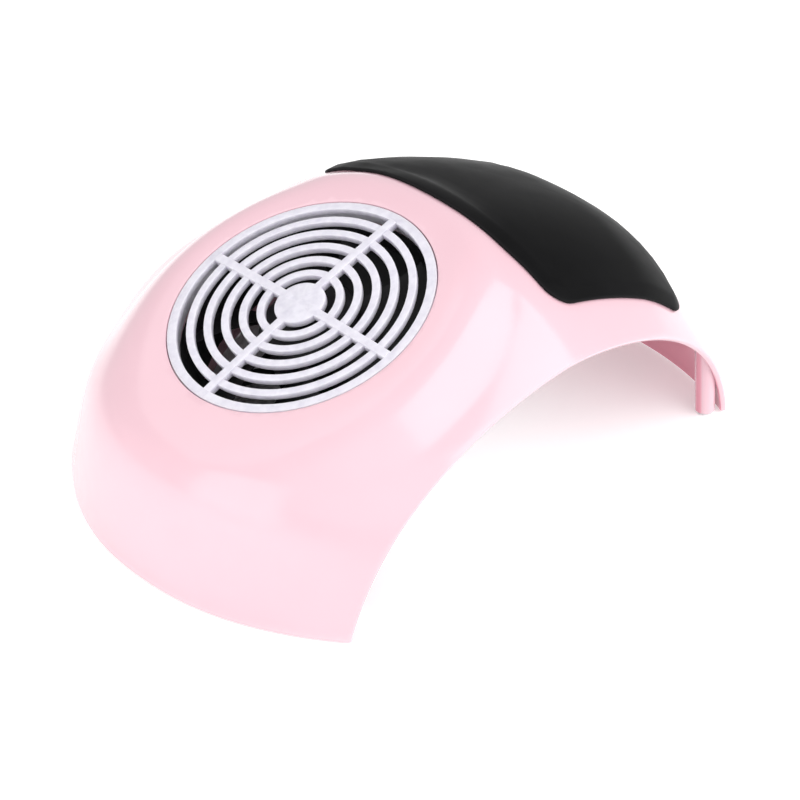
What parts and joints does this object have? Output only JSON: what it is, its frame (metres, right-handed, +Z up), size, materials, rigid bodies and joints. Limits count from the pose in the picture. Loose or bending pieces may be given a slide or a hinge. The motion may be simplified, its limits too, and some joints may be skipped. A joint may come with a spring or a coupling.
{
  "type": "nail dust collector",
  "caption": "Arched desk-top nail dust collector: a fan behind a round grille draws dust into a bag under a glossy shell with a raised black palm rest.",
  "frame": {"origin": "on the table under the middle of the footprint", "axes": "+X from the fan end towards the palm-rest end, +Y across the body, +Z up"},
  "size_m": [0.2633, 0.1872, 0.114],
  "materials": {
    "shell": "glossy moulded light pink plastic",
    "palm_rest": "satin black soft-touch plastic",
    "grille": "satin pale lavender plastic",
    "fan_plastic": "black moulded plastic",
    "impeller_plastic": "black moulded plastic",
    "collar": "pink plastic",
    "bag_cloth": "white non-woven cloth",
    "bag_elastic": "covered elastic band",
    "ferrite": "dark ferrite",
    "board": "green circuit board",
    "switch_plastic": "glossy black plastic",
    "lead_red": "red insulation",
    "lead_black": "black insulation",
    "steel": "plain steel",
    "foot_rubber": "pale rubber",
    "copper_wire": "enamelled copper wire"
  },
  "bodies": {
    "body": {"top_shell": "shell", "palm_rest": "palm_rest", "fan_frame": "fan_plastic", "outlet_collar": "collar", "motor_board": "board", "switch_housing": "switch_plastic", "power_jack": "switch_plastic", "lead_red": "lead_red", "lead_black": "lead_black", "bearing_upper": "steel", "bearing_lower": "steel", "stator_core": "steel", "jack_pin": "steel", "fan_screw_1": "steel", "fan_screw_2": "steel", "fan_screw_3": "steel", "fan_screw_4": "steel", "palm_screw_1": "steel", "palm_screw_2": "steel", "palm_screw_3": "steel", "palm_screw_4": "steel", "rubber_foot_1": "foot_rubber", "stator_coil_1": "copper_wire", "rubber_foot_2": "foot_rubber", "stator_coil_2": "copper_wire", "rubber_foot_3": "foot_rubber", "stator_coil_3": "copper_wire", "rubber_foot_4": "foot_rubber", "stator_coil_4": "copper_wire"},
    "rotor": {"impeller": "impeller_plastic", "motor_shaft": "steel", "rotor_yoke": "steel", "rotor_magnet": "ferrite", "retaining_clip": "steel"},
    "grille": {"fan_grille": "grille"},
    "rocker": {"switch_rocker": "switch_plastic"},
    "bag": {"dust_bag": "bag_cloth", "bag_band": "bag_elastic"}
  },
  "joints": [
    {"name": "fan_spin", "type": "hinge", "parent": "body", "child": "rotor", "pos_m": [-0.0478, 0, 0.0892], "axis": [-0.3535, 0, 0.9354], "continuous": true},
    {"name": "grille_lift", "type": "slide", "parent": "body", "child": "grille", "axis": [-0.3535, 0, 0.9354], "range_m": [0, 0.03]},
    {"name": "rocker_tilt", "type": "hinge", "parent": "body", "child": "rocker", "pos_m": [0.12605, 0.02112, 0.02691], "axis": [-0.2728, 0, 0.9621], "range_deg": [-10, 0]},
    {"name": "bag_pull", "type": "slide", "parent": "body", "child": "bag", "axis": [0.3535, 0, -0.9354], "range_m": [0, 0.012]}
  ]
}
